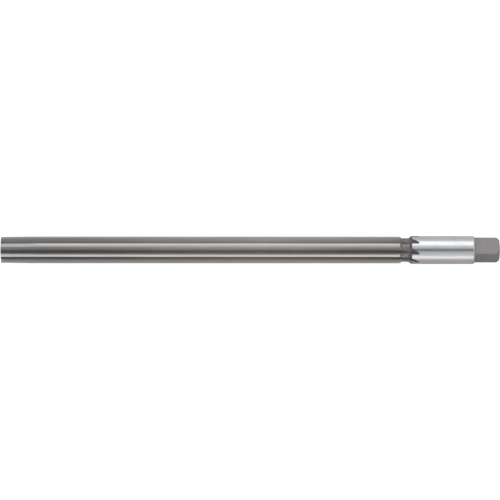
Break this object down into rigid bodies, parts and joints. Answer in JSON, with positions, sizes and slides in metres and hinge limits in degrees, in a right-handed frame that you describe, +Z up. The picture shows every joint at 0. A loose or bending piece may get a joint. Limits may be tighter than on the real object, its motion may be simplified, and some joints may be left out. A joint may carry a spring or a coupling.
{
  "type": "hand reamer",
  "caption": "Straight-fluted hand reamer of tool steel, with a starting taper, a ground shank and a square end for a tap wrench.",
  "frame": {"origin": "middle of the length, straight below the axis, on the surface that the tool lies on", "axes": "+X along the tool's axis from the cutting end to the square, +Z up from the surface, +Y across"},
  "size_m": [0.18, 0.01, 0.0101],
  "materials": {
    "tool_steel": "hardened tool steel: ground lengthways on the teeth and flutes, ground round on the shank, matt on the neck and square"
  },
  "bodies": {
    "root": {"hand_reamer": "tool_steel"}
  },
  "joints": []
}
